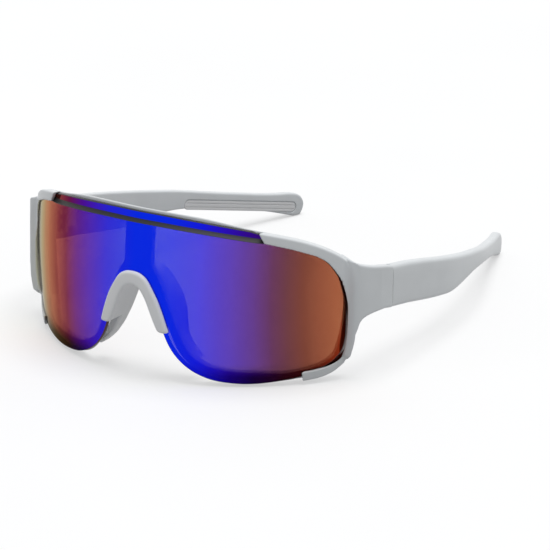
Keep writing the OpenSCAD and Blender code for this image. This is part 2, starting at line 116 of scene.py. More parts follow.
def spline(p, n, close=False):
    """A smooth curve through the points, with n steps from one to the next."""
    p = np.array(p, float)
    out = []
    m = len(p)
    for i in range(m if close else m - 1):
        if close:
            a, b, c, d = p[i - 1], p[i], p[(i + 1) % m], p[(i + 2) % m]
        else:
            a, b, c, d = p[max(i - 1, 0)], p[i], p[i + 1], p[min(i + 2, m - 1)]
        for k in range(n):
            t = k / n
            out.append((2 * b + (c - a) * t + (2 * a - 5 * b + 4 * c - d) * t * t
                        + (3 * b - a - 3 * c + d) * t ** 3) / 2)
    if not close:
        out.append(p[-1])
    return np.array(out)


def flip(p):
    """The points mirrored left to right, in the reverse order."""
    return [(-a, b) for a, b in reversed(list(p))]


def both(p):
    """A closed outline from its right half, whose ends lie on the middle line and are used once."""
    return list(p) + flip(p)[1:-1]


def grow(p, d):
    """A closed clockwise outline moved outwards by d."""
    p = np.asarray(p, float)
    t = np.roll(p, -1, 0) - np.roll(p, 1, 0)
    t /= np.linalg.norm(t, axis=1)[:, None] + 1e-12
    return p + d * np.stack([-t[:, 1], t[:, 0]], 1)


def line_grow(p, d):
    """An open line that runs clockwise moved outwards by d."""
    p = np.asarray(p, float)
    t = np.vstack([p[1:], p[-1:]]) - np.vstack([p[:1], p[:-1]])
    t /= np.linalg.norm(t, axis=1)[:, None]
    return p + np.reshape(d, (-1, 1)) * np.stack([-t[:, 1], t[:, 0]], 1)


def bulged(p, d):
    """The middle of an open line moved outwards by up to d, with its ends left out."""
    n = len(p)
    return [tuple(q) for q in line_grow(p, d * np.sin(np.pi * np.arange(n) / (n - 1)))[1:-1]]


def resample(p, step, close=True):
    """Evenly spaced points along an outline or a line."""
    p = np.asarray(p, float)
    if close:
        p = np.vstack([p, p[:1]])
    s = np.concatenate([[0], np.cumsum(np.linalg.norm(np.diff(p, axis=0), axis=1))])
    n = max(int(round(s[-1] / step)), 8)
    u = np.linspace(0, s[-1], n + 1)
    if close:
        u = u[:-1]
    return np.stack([np.interp(u, s, p[:, 0]), np.interp(u, s, p[:, 1])], 1)


lens_side = place(LENS_SIDE_SHARES, LENS_W, LENS_H, LENS_Z)
lens_top = place(LENS_TOP_SHARES, LENS_W, LENS_H, LENS_Z)
lens_low = place(LENS_LOW_SHARES, LENS_W, LENS_H, LENS_Z) + place(LENS_ARCH_SHARES, NOSE_W, NOSE_TOP)
lens_edge = spline(both(lens_top + bulged(lens_side, LIP_W) + lens_low), 6, True)
window = spline(place(WINDOW_SHARES, LENS_W, LENS_H, LENS_Z), 6)
side_points = place(SIDE_SHARES, FRAME_W, FRAME_H)
frame_edge = spline(both(
    place(BROW_SHARES, FRAME_W, FRAME_H) + bulged(side_points, LIP_W) + place(LOWER_SHARES, FRAME_W, FRAME_H)
    + place(FRAME_ARCH_SHARES, NOSE_W, NOSE_TOP)), 6, True)
frame_edge[:, 1] = np.maximum(frame_edge[:, 1], 0)


def lip_y(x):
    """Depth of the lips' outer surface behind the lens's front."""
    cheek = np.array(CHEEK_FRONT_SHARES)
    return np.where(x < cheek[0, 0] * HALF_W, WRAP_R - np.sqrt((WRAP_R + LIP_PROUD) ** 2 - x * x),
                    np.interp(x / HALF_W, cheek[:, 0], cheek[:, 1]) * HINGE_Y)


# the lips' outer side in a view turned by 45 degrees, so that no wall shows behind them
side_line = spline(side_points, 6)
side_turned = np.stack([side_line[:, 0] * math.cos(TURN) + lip_y(side_line[:, 0]) * math.sin(TURN),
                        side_line[:, 1]], 1)
turned_poly = np.vstack([[(-HALF_W, FRAME_H * 1.35)], side_turned, [(-HALF_W, -FRAME_H / 4)]])
arch = spline(place(ARCH_SHARES, NOSE_W, NOSE_TOP), 6)
hook = spline(place(HOOK_SHARES, NOSE_W, NOSE_TOP), 6)


# Signed distances
def poly_sd(a, b, poly):
    """Signed distance to a closed outline, negative inside."""
    poly = np.asarray(poly, float)
    a, b = np.broadcast_arrays(a, b)
    d2 = np.full(a.shape, np.inf)
    inside = np.zeros(a.shape, bool)
    for (x0, y0), (x1, y1) in zip(poly, np.roll(poly, -1, 0)):
        ex, ey = x1 - x0, y1 - y0
        L = ex * ex + ey * ey
        if L < 1e-12:
            continue
        wx, wy = a - x0, b - y0
        t = np.clip((wx * ex + wy * ey) / L, 0, 1)
        d2 = np.minimum(d2, (wx - t * ex) ** 2 + (wy - t * ey) ** 2)
        if abs(ey) > 1e-12:
            inside ^= ((y0 > b) != (y1 > b)) & (a < ex * (b - y0) / ey + x0)
    d = np.sqrt(d2)
    return np.where(inside, -d, d)


def smax(a, b, k):
    """The larger value, rounded over a width of k where the two are alike."""
    return np.maximum(a, b) + np.maximum(k - np.abs(a - b), 0) ** 2 / (4 * k)


def smin(a, b, k):
    """The smaller value, rounded over a width of k where the two are alike."""
    return np.minimum(a, b) - np.maximum(k - np.abs(a - b), 0) ** 2 / (4 * k)


def depth(x, y, z):
    """Depth below the lens's outer surface."""
    return RISE_R - np.sqrt((np.hypot(x, y - WRAP_R) - (WRAP_R - RISE_R)) ** 2 + (z - SHELL_Z) ** 2)


def rise(v, start, run):
    """0 up to start, 1 from start + run on, and an even change in between. A run below 0 goes down."""
    return np.clip((v - start) / run, 0, 1)


def slab(d, a, b):
    """How far a depth lies outside the range from a to b."""
    return np.maximum(a - d, d - b)


def side_sd(ax, y, z):
    """How far a point lies outside the lips' turned side."""
    t = (ax + y) * math.cos(TURN)
    if np.ndim(t) < 3:
        return poly_sd(t, z, turned_poly)
    # on a grid the distances come from a table with fine rows
    t = t[..., 0]
    pitch = 0.2
    rows = np.arange(t.min() - 1.5 * pitch, t.max() + 2.5 * pitch, pitch)
    table = poly_sd(rows[:, None], z.ravel()[None, :], turned_poly)
    i = np.floor((t - rows[0]) / pitch).astype(int)
    share = ((t - rows[0]) / pitch - i)[..., None]
    return table[i] * (1 - share) + table[i + 1] * share


# Surfaces from signed distances
def nets(f, lo, hi, h):
    """Surface nets of f = 0 on a grid of pitch h. Returns points and quads."""
    axes = [np.arange(lo[i], hi[i] + h, h) for i in range(3)]
    V = f(axes[0][:, None, None], axes[1][None, :, None], axes[2][None, None, :])
    V = np.broadcast_to(V, tuple(len(a) for a in axes)).astype(np.float32)
    S = V < 0
    n = [len(a) - 1 for a in axes]
    cells = [S[i:i + n[0], j:j + n[1], k:k + n[2]] for i in (0, 1) for j in (0, 1) for k in (0, 1)]
    some = cells[0].copy()
    every = cells[0].copy()
    for c in cells[1:]:
        some |= c
        every &= c
    ci = np.argwhere(some & ~every)
    corner = np.array([(i, j, k) for i in (0, 1) for j in (0, 1) for k in (0, 1)])
    val = np.stack([V[tuple((ci + c).T)] for c in corner], 1).astype(float)
    acc = np.zeros((len(ci), 3))
    cnt = np.zeros(len(ci))
    for a in range(8):
        for b in range(a + 1, 8):
            if np.abs(corner[a] - corner[b]).sum() != 1:
                continue
            va, vb = val[:, a], val[:, b]
            m = (va < 0) != (vb < 0)
            t = np.where(m, va / np.where(m, va - vb, 1), 0)
            p = corner[a] + t[:, None] * (corner[b] - corner[a])
            acc += p * m[:, None]
            cnt += m
    pts = (ci + acc / cnt[:, None]) * h + np.array(lo)
    idx = np.full(tuple(n), -1, np.int32)
    idx[tuple(ci.T)] = np.arange(len(ci))
    quads = []
    for ax in range(3):
        u, v = [(1, 2), (2, 0), (0, 1)][ax]
        a = [slice(None)] * 3
        b = [slice(None)] * 3
        a[ax] = slice(0, -1)
        b[ax] = slice(1, None)
        E = S[tuple(a)] != S[tuple(b)]
        e = np.argwhere(E)
        e = e[(e[:, u] > 0) & (e[:, v] > 0) & (e[:, u] < n[u]) & (e[:, v] < n[v])]
        inside = S[tuple(e.T)]
        du = np.zeros(3, int)
        dv = np.zeros(3, int)
        du[u] = 1
        dv[v] = 1
        q = np.stack([idx[tuple((e - du - dv).T)], idx[tuple((e - dv).T)], idx[tuple(e.T)],
                      idx[tuple((e - du).T)]], 1)
        q[~inside] = q[~inside][:, ::-1]
        quads.append(q)
    return pts, np.vstack(quads)


def refine(f, p, steps=2, eps=0.05, reach=0.35):
    """Moves points onto f = 0 and returns the unit normals there."""
    for done in range(steps + 1):
        g = np.stack([f(p[:, 0] + (i == 0) * eps, p[:, 1] + (i == 1) * eps, p[:, 2] + (i == 2) * eps)
                      - f(p[:, 0] - (i == 0) * eps, p[:, 1] - (i == 1) * eps, p[:, 2] - (i == 2) * eps)
                      for i in range(3)], 1) / (2 * eps)
        L = (g ** 2).sum(1)
        if done == steps:
            break
        step = -f(p[:, 0], p[:, 1], p[:, 2]) / np.maximum(L, 0.2)
        p = p + g * np.clip(step, -reach, reach)[:, None]
    return p, g / (np.sqrt(L)[:, None] + 1e-9)


def finish_mesh(name, pts, faces, normals, body, mats, matidx=None):
    """A smooth piece from points in mm, riding on its body."""
    mesh = bpy.data.meshes.new(name)
    co = (np.asarray(pts, float) - np.array([0, Y0, 0])) * MM
    mesh.from_pydata(co.tolist(), [], [list(map(int, f)) for f in faces])
    mesh.update()
    for m in mats:
        mesh.materials.append(m)
    if matidx is not None:
        mesh.polygons.foreach_set("material_index", np.asarray(matidx, np.int32))
    mesh.polygons.foreach_set("use_smooth", [True] * len(mesh.polygons))
    if normals is not None:
        mesh.normals_split_custom_set_from_vertices([tuple(v) for v in normals])
    obj = bpy.data.objects.new(name, mesh)
    bpy.context.scene.collection.objects.link(obj)
    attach(obj, body)
    return obj


def sd_piece(name, f, lo, hi, h, body, mats, warp=None):
    """The surface of f = 0 between lo and hi as a piece, bent by warp where that is given."""
    pts, quads = nets(f, lo, hi, h)
    pts, nor = refine(f, pts)
    if warp is not None:
        eps = 0.02
        base = warp(pts)
        tip = warp(pts + nor * eps)
        # a normal turns with the surface, so it is rebuilt from two tangents
        t1 = np.cross(nor, np.where(np.abs(nor[:, 2:3]) < 0.9, [[0, 0, 1.0]], [[1.0, 0, 0]]))
        t1 /= np.linalg.norm(t1, axis=1)[:, None]
        t2 = np.cross(nor, t1)
        w1 = warp(pts + t1 * eps) - base
        w2 = warp(pts + t2 * eps) - base
        nn = np.cross(w1, w2)
        nn /= np.linalg.norm(nn, axis=1)[:, None] + 1e-12
        s = np.sign(((tip - base) * nn).sum(1))
        nor = nn * s[:, None]
        pts = base
        a = pts[quads[:, 0]]
        fn = np.cross(pts[quads[:, 1]] - a, pts[quads[:, 2]] - a)
        if ((fn * nor[quads[:, 0]]).sum(1) > 0).mean() < 0.5:
            quads = quads[:, ::-1]
    return finish_mesh(name, pts, quads, nor, body, mats)


# Materials, where nt is a material's node tree
def node_mat(name, build):
    """A material from a function that adds nodes and returns the shader."""
    m = bpy.data.materials.new(name)
    m.use_nodes = True
    nt = m.node_tree
    nt.nodes.clear()
    out = nt.nodes.new("ShaderNodeOutputMaterial")
    shader = build(nt)
    nt.links.new(shader, out.inputs["Surface"])
    return m


def ramp(nt, fac, stops, interp="EASE"):
    """A colour that follows fac through the stops."""
    r = nt.nodes.new("ShaderNodeValToRGB")
    r.color_ramp.interpolation = interp
    el = r.color_ramp.elements
    while len(el) > 1:
        el.remove(el[-1])
    el[0].position = stops[0][0]
    el[0].color = (*stops[0][1], 1)
    for p, c in stops[1:]:
        e = el.new(p)
        e.color = (*c, 1)
    nt.links.new(fac, r.inputs[0])
    return r.outputs[0]


def math_node(nt, op, a, b=None, c=None):
    """One sum on numbers or sockets."""
    n = nt.nodes.new("ShaderNodeMath")
    n.operation = op
    for i, v in enumerate((a, b, c)):
        if v is None:
            continue
        if isinstance(v, (int, float)):
            n.inputs[i].default_value = v
        else:
            nt.links.new(v, n.inputs[i])
    return n.outputs[0]


def lin(r, g, b):
    """A display colour from 0 to 255 as linear light."""
    def f(v):
        v /= 255.0
        return v / 12.92 if v <= 0.04045 else ((v + 0.055) / 1.055) ** 2.4
    return (f(r), f(g), f(b))


def coords(nt):
    """The object's own coordinates, as a vector and split."""
    tc = nt.nodes.new("ShaderNodeTexCoord")
    sep = nt.nodes.new("ShaderNodeSeparateXYZ")
    nt.links.new(tc.outputs["Object"], sep.inputs[0])
    return tc.outputs["Object"], sep


def plastic(name, rgb, rough, bump, scale, spread=0.03):
    """Plastic or rubber with a faint change of colour and a fine grain."""
    def build(nt):
        co, sep = coords(nt)
        n1 = nt.nodes.new("ShaderNodeTexNoise")
        n1.inputs["Scale"].default_value = 45
        n1.inputs["Detail"].default_value = 3
        nt.links.new(co, n1.inputs["Vector"])
        base = ramp(nt, n1.outputs["Fac"], [(0.3, tuple(c * (1 - spread) for c in rgb)),
                                             (0.7, tuple(min(c * (1 + spread), 1) for c in rgb))])
        p = nt.nodes.new("ShaderNodeBsdfPrincipled")
        nt.links.new(base, p.inputs["Base Color"])
        n2 = nt.nodes.new("ShaderNodeTexNoise")
        n2.inputs["Scale"].default_value = scale
        n2.inputs["Detail"].default_value = 2
        nt.links.new(co, n2.inputs["Vector"])
        r = nt.nodes.new("ShaderNodeMapRange")
        r.inputs["To Min"].default_value = rough - 0.05
        r.inputs["To Max"].default_value = rough + 0.05
        nt.links.new(n2.outputs["Fac"], r.inputs["Value"])
        nt.links.new(r.outputs[0], p.inputs["Roughness"])
        p.inputs["Specular IOR Level"].default_value = 0.4
        b = nt.nodes.new("ShaderNodeBump")
        b.inputs["Strength"].default_value = bump
        b.inputs["Distance"].default_value = 0.00005
        nt.links.new(n2.outputs["Fac"], b.inputs["Height"])
        nt.links.new(b.outputs[0], p.inputs["Normal"])
        return p.outputs[0]
    return node_mat(name, build)


def metal(name, rgb, rough):
    """Metal with fine lines across its height."""
    def build(nt):
        co, sep = coords(nt)
        mp = nt.nodes.new("ShaderNodeMapping")
        mp.inputs["Scale"].default_value = (300, 300, 6000)
        nt.links.new(co, mp.inputs["Vector"])
        n = nt.nodes.new("ShaderNodeTexNoise")
        n.inputs["Scale"].default_value = 1.0
        nt.links.new(mp.outputs[0], n.inputs["Vector"])
        p = nt.nodes.new("ShaderNodeBsdfPrincipled")
        base = ramp(nt, n.outputs["Fac"], [(0.3, tuple(c * 0.9 for c in rgb)), (0.7, rgb)])
        nt.links.new(base, p.inputs["Base Color"])
        p.inputs["Metallic"].default_value = 1
        r = nt.nodes.new("ShaderNodeMapRange")
        r.inputs["To Min"].default_value = rough - 0.06
        r.inputs["To Max"].default_value = rough + 0.08
        nt.links.new(n.outputs["Fac"], r.inputs["Value"])
        nt.links.new(r.outputs[0], p.inputs["Roughness"])
        return p.outputs[0]
    return node_mat(name, build)


# colours that the coating reflects and lets through, by X in mm across the lens; in the reflected colours the
# pale cream and orange towards the left end are partly painted sheen, the coating's whitening and colour shift
# at a grazing angle fixed by position, and the rest is the coating's own gradient
REFLECT = [(-62, (205, 200, 160)), (-56, (205, 203, 165)), (-52, (212, 185, 138)), (-48, (205, 140, 108)),
           (-44, (176, 98, 84)), (-39, (134, 50, 64)), (-33, (98, 12, 66)), (-25, (72, 10, 144)),
           (-12, (35, 34, 206)), (0, (8, 40, 222)), (14, (10, 38, 222)), (24, (20, 25, 214)),
           (31, (40, 15, 180)), (37, (48, 10, 140)), (42, (50, 8, 105)), (46, (50, 8, 60)),
           (50, (55, 12, 28)), (54, (75, 22, 14)), (58, (105, 35, 18)), (62, (125, 42, 20)), (65, (90, 22, 12))]
PASS = [(-60, (150, 140, 120)), (-45, (130, 90, 60)), (-33, (108, 62, 50)), (-12, (68, 55, 34)),
        (0, (75, 78, 12)), (22, (90, 80, 40)), (37, (101, 74, 108)), (46, (106, 66, 82)),
        (54, (118, 74, 60)), (62, (128, 98, 70))]
# painted reflection: darker colours near the lens's lower edge, standing in for the shaded floor that the
# mirror reflects there
PAINTED_FLOOR_REFLECTION = [(-62, (60, 22, 14)), (-45, (44, 8, 10)), (-33, (30, 2, 26)), (-20, (18, 6, 90)), (-6, (8, 22, 190)),
       (14, (10, 22, 205)), (24, (14, 14, 185)), (33, (20, 0, 110)), (40, (18, 0, 52)), (48, (32, 3, 14)),
       (54, (44, 6, 6)), (65, (46, 8, 5))]
# the share of the light that goes through, and the width in mm that the ramps span
PASS_FAC, RAMP_W = 0.22, 132.0


def lens_mat(name, passes=True, rough=0.03):
    """The mirror coating, darkened low down by a painted floor reflection, which lets some light through where
    passes is true.
    """
    def build(nt):
        co, sep = coords(nt)
        wob = nt.nodes.new("ShaderNodeTexNoise")
        wob.inputs["Scale"].default_value = 18
        wob.inputs["Detail"].default_value = 1
        nt.links.new(co, wob.inputs["Vector"])
        w = math_node(nt, "MULTIPLY_ADD", wob.outputs["Fac"], 0.0016, -0.0008)
        x = math_node(nt, "ADD", sep.outputs["X"], w)
        fac = math_node(nt, "MULTIPLY_ADD", x, 1 / (RAMP_W * MM), 0.5)

        def table(rows, gain):
            return [(at / RAMP_W + 0.5, tuple(min(c * gain, 1) for c in lin(*rgb))) for at, rgb in rows]
        gain = 1 / (1 - PASS_FAC) if passes else 1.0
        # painted reflection: from 8.5 mm down to 3.5 mm the colour turns into the darker table, standing in for
        # the floor's shade seen in the mirror
        floor_reflection_share = nt.nodes.new("ShaderNodeMapRange")
        floor_reflection_share.inputs["From Min"].default_value = 0.0035
        floor_reflection_share.inputs["From Max"].default_value = 0.0085
        floor_reflection_share.inputs["To Min"].default_value = 1.0
        floor_reflection_share.inputs["To Max"].default_value = 0.0
        nt.links.new(sep.outputs["Z"], floor_reflection_share.inputs["Value"])
        coating_and_floor_reflection = nt.nodes.new("ShaderNodeMix")
        coating_and_floor_reflection.data_type = "RGBA"
        nt.links.new(floor_reflection_share.outputs[0], coating_and_floor_reflection.inputs[0])
        nt.links.new(ramp(nt, fac, table(REFLECT, gain), "LINEAR"), coating_and_floor_reflection.inputs[6])
        nt.links.new(ramp(nt, fac, table(PAINTED_FLOOR_REFLECTION, gain), "LINEAR"), coating_and_floor_reflection.inputs[7])
        col = coating_and_floor_reflection.outputs[2]
        p = nt.nodes.new("ShaderNodeBsdfPrincipled")
        nt.links.new(col, p.inputs["Base Color"])
        p.inputs["Metallic"].default_value = 1
        p.inputs["Roughness"].default_value = rough
        p.inputs["Specular Tint"].default_value = (0.6, 0.57, 0.47, 1)
        if not passes:
            return p.outputs[0]
        t = nt.nodes.new("ShaderNodeBsdfTransparent")
        tc = ramp(nt, fac, table(PASS, 1 / PASS_FAC), "LINEAR")
        nt.links.new(tc, t.inputs["Color"])
        mix = nt.nodes.new("ShaderNodeMixShader")
        mix.inputs[0].default_value = PASS_FAC
        nt.links.new(p.outputs[0], mix.inputs[1])
        nt.links.new(t.outputs[0], mix.inputs[2])
        return mix.outputs[0]
    return node_mat(name, build)


def smoke(name, rgb, clear):
    """The clear side of the lens, with a little dark tint and gloss."""
    def build(nt):
        co, sep = coords(nt)
        n = nt.nodes.new("ShaderNodeTexNoise")
        n.inputs["Scale"].default_value = 30
        nt.links.new(co, n.inputs["Vector"])
        col = ramp(nt, n.outputs["Fac"], [(0.3, tuple(c * 0.9 for c in rgb)), (0.7, rgb)])
        p = nt.nodes.new("ShaderNodeBsdfPrincipled")
        nt.links.new(col, p.inputs["Base Color"])
        p.inputs["Roughness"].default_value = 0.08
        t = nt.nodes.new("ShaderNodeBsdfTransparent")
        mix = nt.nodes.new("ShaderNodeMixShader")
        mix.inputs[0].default_value = clear
        nt.links.new(p.outputs[0], mix.inputs[1])
        nt.links.new(t.outputs[0], mix.inputs[2])
        return mix.outputs[0]
    return node_mat(name, build)


M_FRAME = plastic("frame_plastic", (0.72, 0.745, 0.76), 0.36, 0.12, 2600)
M_NOSE = plastic("nose_rubber", (0.93, 0.94, 0.945), 0.5, 0.2, 3200)
M_GRIP = plastic("grip_rubber", (0.8, 0.805, 0.81), 0.55, 0.25, 3600)
M_LEAF = metal("hinge_metal", (0.62, 0.62, 0.63), 0.28)
M_SCREW = metal("screw_metal", (0.45, 0.45, 0.47), 0.34)
M_LENS = lens_mat("lens_mirror")
M_STRIP = lens_mat("lens_strip", passes=False, rough=0.05)
M_BEVEL = plastic("lens_bevel", (0.01, 0.01, 0.0095), 0.5, 0.1, 3000)
M_EDGE = plastic("lens_edge", (0.012, 0.01, 0.014), 0.22, 0.1, 3000)
M_SIDE = plastic("lens_side", (0.09, 0.016, 0.008), 0.3, 0.1, 3000)
M_BACK = smoke("lens_back", (0.02, 0.018, 0.022), 0.78)
M_CLEAR = smoke("lens_inside", (0.02, 0.018, 0.022), 0.97)


# Lens
def on_shell(p, d):
    """Points (x, z) of the front view put on the shell at depth d, with the shell's normals."""
    p = np.asarray(p, float)
    d = np.broadcast_to(d, (len(p),))
    x, z = p[:, 0], p[:, 1]
    q = np.sqrt((RISE_R - d) ** 2 - (z - SHELL_Z) ** 2)
    rho = (WRAP_R - RISE_R) + q
    y = WRAP_R - np.sqrt(np.maximum(rho ** 2 - x ** 2, 1))
    n = np.stack([x / rho, (y - WRAP_R) / rho, np.zeros_like(x)], 1) * (q / (RISE_R - d))[:, None]
    n[:, 2] = (z - SHELL_Z) / (RISE_R - d)
    return np.stack([x, y, z], 1), n


def fill(outline, step, inner=None):
    """Triangles inside a closed outline with a grid of inner points, split along an inner loop."""
    outline = np.asarray(outline, float)
    lo, hi = outline.min(0), outline.max(0)
    gx, gz = np.meshgrid(np.arange(lo[0], hi[0], step), np.arange(lo[1], hi[1], step), indexing="ij")
    g = np.stack([gx.ravel(), gz.ravel()], 1)
    g = g[poly_sd(g[:, 0], g[:, 1], outline) < -0.55 * step]
    n = len(outline)
    edges = [(i, (i + 1) % n) for i in range(n)]
    if inner is not None:
        g = g[np.abs(poly_sd(g[:, 0], g[:, 1], inner)) > 0.4 * step]
        edges += [(n + i, n + (i + 1) % len(inner)) for i in range(len(inner))]
        g = np.vstack([inner, g])
    pts = np.vstack([outline, g])
    co, _, tri, orig, _, _ = delaunay_2d_cdt([Vector(p) for p in pts.tolist()], edges, [], 1, 1e-7)
    co = np.array([tuple(c) for c in co])
    tri = np.array(tri)
    return co, tri, orig


def shell_piece(name, rings, body, mats, side_mats, step=1.6, back_mat=0, inner=None, inner_mat=0):
    """A closed curved plate. rings are (outline, depth, tilt) from its back to its front, of equal length."""
    rows, side_normals, faces, slots = [], [], [], []
    n = len(rings[0][0])
    for outline, d, tilt in rings:
        pos, nor = on_shell(outline, d)
        t = np.roll(outline, -1, 0) - np.roll(outline, 1, 0)
        t /= np.linalg.norm(t, axis=1)[:, None]
        side = np.stack([-t[:, 1], np.zeros(n), t[:, 0]], 1)
        side -= nor * (side * nor).sum(1)[:, None]
        side /= np.linalg.norm(side, axis=1)[:, None]
        c, s = math.cos(tilt), math.sin(tilt)
        rows.append(pos)
        side_normals.append(nor * s + side * c)
    for k in range(len(rings) - 1):
        a, b = k * n, (k + 1) * n
        for i in range(n):
            j = (i + 1) % n
            faces.append((a + i, b + i, b + j, a + j))
            slots.append(side_mats[k][i])
    pts = np.vstack(rows)
    nor = np.vstack(side_normals)
    for ring, mat, sign in ((len(rings) - 1, 0, 1), (0, back_mat, -1)):
        outline, d, _ = rings[ring]
        loop = inner if sign > 0 else None
        co, tri, orig = fill(outline, step, loop)
        pos, nn = on_shell(co, d)
        zone = np.zeros(len(tri), bool)
        if loop is not None:
            c = co[tri].mean(1)
            zone = poly_sd(c[:, 0], c[:, 1], loop) < 0
        index = {}
        base = len(pts)
        add = []
        for v in range(len(co)):
            o = [q for q in orig[v] if q < n]
            if o:
                index[v] = ring * n + o[0]
            else:
                index[v] = base + len(add)
                add.append(v)
        pts = np.vstack([pts, pos[add]])
        nor = np.vstack([nor, nn[add] * sign])
        for t, inside in zip(tri, zone):
            a, b, c = (index[int(q)] for q in t)
            fn = np.cross(pts[b] - pts[a], pts[c] - pts[a])
            if fn.dot(nn[int(t[0])]) * sign < 0:
                b, c = c, b
            faces.append((a, b, c))
            slots.append(inner_mat if inside else mat)
    # the rings' own first face decides which way the sides turn
    a, b, c = (pts[q] for q in faces[n // 3][:3])
    if np.cross(b - a, c - a).dot(nor[faces[n // 3][0]] + nor[faces[n // 3][1]]) < 0:
        faces = [tuple(reversed(f)) if len(f) == 4 else f for f in faces]
    return finish_mesh(name, pts, faces, nor, body, mats, slots)


def run(p, step):
    """An open line with even steps."""
    return resample(p, step, False)


# the lens's outline in three runs: its top, its turned side between two heights, and its lower edge
TOP_END, SIDE_Z, RUN_STEP = 39.2, (4.2, 56.0), 0.9
lens_runs = [run([q for q in spline(lens_top, 6) if q[0] < TOP_END], RUN_STEP),
             run([q for q in line_grow(side_turned, -LIP_WALL) if SIDE_Z[0] < q[1] < SIDE_Z[1]], RUN_STEP),
             run(spline(lens_low, 6), RUN_STEP)]


def lens_line(d, inset):
    """The lens's whole outline at depth d, in the front view, moved in by inset."""
    a, b, c = (line_grow(q, -inset) for q in lens_runs)
    rho = (WRAP_R - RISE_R) + np.sqrt((RISE_R - d) ** 2 - (b[:, 1] - SHELL_Z) ** 2)
    angle = TURN + np.arcsin((b[:, 0] / math.cos(TURN) - WRAP_R) * math.cos(TURN) / rho)
    b = np.stack([rho * np.sin(angle), b[:, 1]], 1)
    return np.array(both([tuple(q) for q in np.vstack([a, b, c])]))


def lens_rings(back, front, r):
    """Rings from the lens's back to its front, with its two edges rounded by r."""
    q = math.pi / 2
    rows = [(back, r, -q), (back - 0.3 * r, 0.3 * r, -q / 2), (back - r, 0, 0), (front + r, 0, 0),
            (front + 0.3 * r, 0.3 * r, q / 2), (front, r, q)]
    return [(lens_line(d, inset), d, tilt) for d, inset, tilt in rows]


# the recessed strip: its depth, its height and the bevel below it, which ends at this height and half width
STRIP_D, STRIP_LOW, BEVEL, BEVEL_Z, BEVEL_X = 1.0, 3.7, 1.1, 51.6, 43.6
FACE_ROUND, DARK_SIDE_Z = 0.22, 4.0
top_low = [(x, z - STRIP_LOW + 0.00035 * x * x) for x, z in lens_top]
tail = [q for q in lens_low if q[0] < window[-1][0]]
face_side = line_grow(window, -0.3 * rise(window[:, 0], 55, 7))
half = spline(top_low, 6).tolist() + face_side.tolist() + spline(tail, 6).tolist()
face_line = resample(both([tuple(q) for q in half]), 0.8)
after = np.roll(face_line, -1, 0)
if (face_line[:, 0] * after[:, 1] - after[:, 0] * face_line[:, 1]).sum() > 0:
    face_line = face_line[::-1]
upper = (face_line[:, 1] > BEVEL_Z) & (np.abs(face_line[:, 0]) < BEVEL_X)
lift = np.where(upper, BEVEL, 0.0)
foot_line = face_line + np.stack([np.zeros(len(lift)), lift], 1)
base_rings = lens_rings(LENS_T, STRIP_D, 0.3)
sides = len(base_rings[0][0])
lens_base = shell_piece("lens_base", base_rings, "front", [M_STRIP, M_EDGE, M_BACK, M_CLEAR],
                        [[1] * sides] * 5, back_mat=2, inner=grow(foot_line, -0.35), inner_mat=3)
side_idx = [2 if u else 4 if z > DARK_SIDE_Z else 1 for u, z in zip(upper, face_line[:, 1])]
lens_face = shell_piece(
    "lens_face",
    [(grow(foot_line, -0.05), STRIP_D + 0.3, 0), (foot_line, STRIP_D - 0.05, 0.5),
     (grow(face_line, -0.02), FACE_ROUND, 0.6),
     (grow(face_line, -0.3 * FACE_ROUND), 0.3 * FACE_ROUND, math.pi / 4),
     (grow(face_line, -FACE_ROUND), 0.0, math.pi / 2)],
    "front", [M_LENS, M_EDGE, M_BEVEL, M_CLEAR, M_SIDE], [side_idx] * 4, step=1.3, back_mat=3)
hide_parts("shield_lens")
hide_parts("shield_lens")

# Front frame
# half the width of the post between the eyes, and the rise of its foot
POST, POST_FOOT = 5.4, 6.0
# the lens window's end at the brow is cut along this slope, and the outline goes on past the frame by OVER
END_CUT, OVER, WINDOW_TOP = (7.7, 15.35), 10.0, 76.0
# where the arm's inner face begins, and how far the arm's end lies below the temple's top and reaches down
ARM_IN_Y, ARM_DROP, ARM_H = 49.7, 0.7, 15.9
# the window's lip moves out by this much low down at the side
LIP_OUT, POCKET_FRONT = 0.8, 0.85
eye = np.array([(POST, EYE_SHARES[-1][1] * FRAME_H + POST_FOOT), (POST, EYE_SHARES[0][1] * FRAME_H)]
               + [tuple(q) for q in spline(place(EYE_SHARES, FRAME_W, FRAME_H), 6)])
lip_out = LIP_OUT * rise(window[:, 1], 40, -12) * rise(window[:, 0], 57, 4)
lip_line = [tuple(q) for q in line_grow(window, lip_out)]
end = lip_line[0]
window_poly = ([(-OVER, WINDOW_TOP), (end[0] - END_CUT[0], end[1] + END_CUT[1])] + lip_line
               + [(lip_line[-1][0], -4), (-OVER, -4)])
SEAM_F = HINGE_Y - SEAM
plan = np.array([tuple(q) for q in spline(place(CHEEK_FRONT_SHARES, HALF_W, HINGE_Y), 6)]
                + [(HALF_W, SEAM_F), (INNER_X, SEAM_F), (INNER_X, ARM_IN_Y)]
                + [tuple(q) for q in spline(place(CHEEK_BACK_SHARES, HALF_W, HINGE_Y), 6)])
arm_side = np.array([tuple(q) for q in spline(place(ARM_TOP_SHARES, HINGE_Y, FRAME_H), 6)]
                    + [(SEAM_F + 3, TEMPLE_TOP - ARM_DROP), (SEAM_F + 3, TEMPLE_TOP - ARM_H)]
                    + [tuple(q) for q in spline(place(ARM_LOW_SHARES, HINGE_Y, FRAME_H), 6)])
pocket_line = grow(lens_edge, PLAY)


